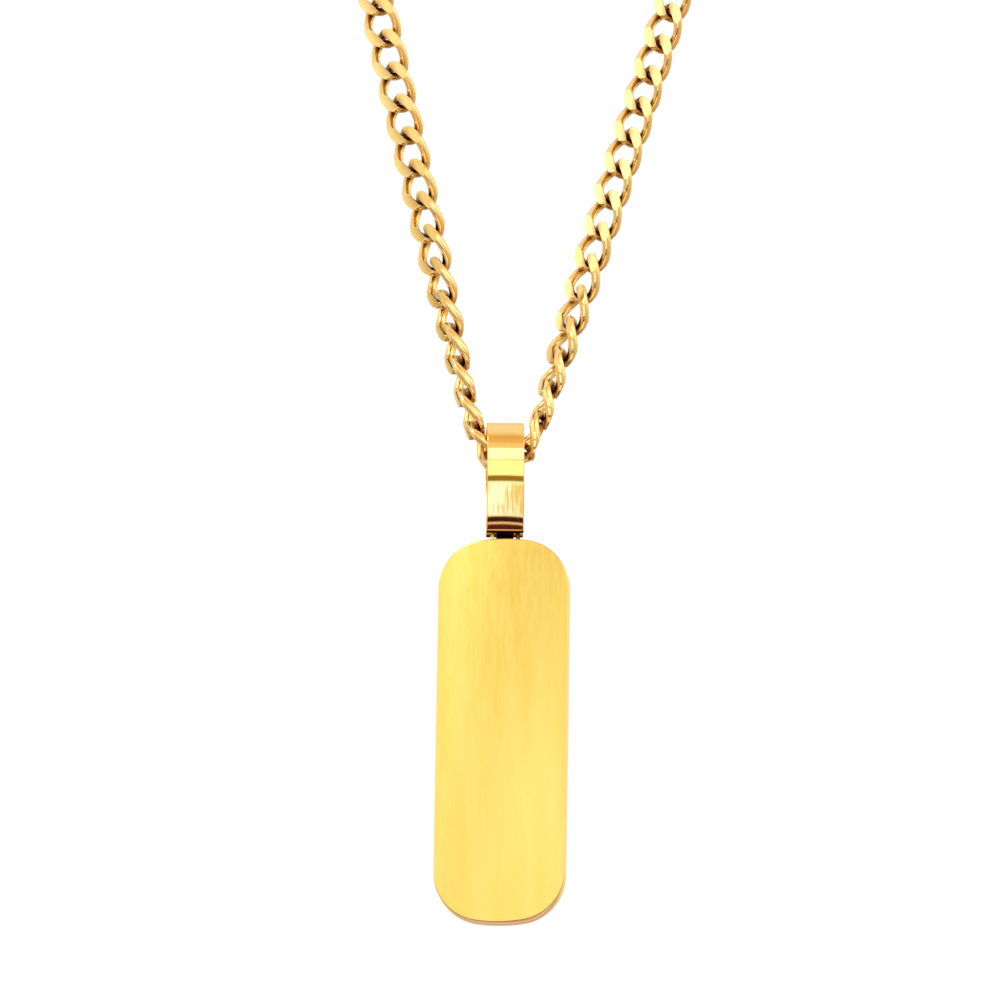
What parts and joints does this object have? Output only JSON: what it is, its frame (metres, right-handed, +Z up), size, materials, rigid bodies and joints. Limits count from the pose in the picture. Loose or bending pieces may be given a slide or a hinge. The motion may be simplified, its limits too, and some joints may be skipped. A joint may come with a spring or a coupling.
{
  "type": "bar pendant necklace",
  "caption": "Plain brushed gold-toned bar pendant on a polished ribbon bail, hanging from a flattened curb chain with a barrel clasp.",
  "frame": {"origin": "underside of the clasp's barrel, where the top of the loop rests on the nape of the neck", "axes": "+Z up as worn, along the hanging necklace; the front faces -Y; +X is to the right as seen from the front"},
  "size_m": [0.0963, 0.0058, 0.2621],
  "materials": {
    "chain_gold": "polished, front and back cut flat",
    "polished_gold": "mirror polished",
    "brushed_gold": "brushed lengthwise on the faces, polished round the edge"
  },
  "bodies": {
    "necklace": {"chain_left": "chain_gold", "chain_right": "chain_gold", "clasp": "polished_gold"},
    "bail": {"bail": "polished_gold"},
    "bar": {"bar": "brushed_gold"}
  },
  "joints": [
    {"name": "bail_swing", "type": "hinge", "parent": "necklace", "child": "bail", "pos_m": [-0.00856, 0, -0.21491], "axis": [1, 0, 0], "range_deg": [-60, 60]},
    {"name": "bar_swing", "type": "hinge", "parent": "bail", "child": "bar", "pos_m": [-0.00856, 0, -0.22218], "axis": [1, 0, 0], "range_deg": [-40, 40]}
  ]
}
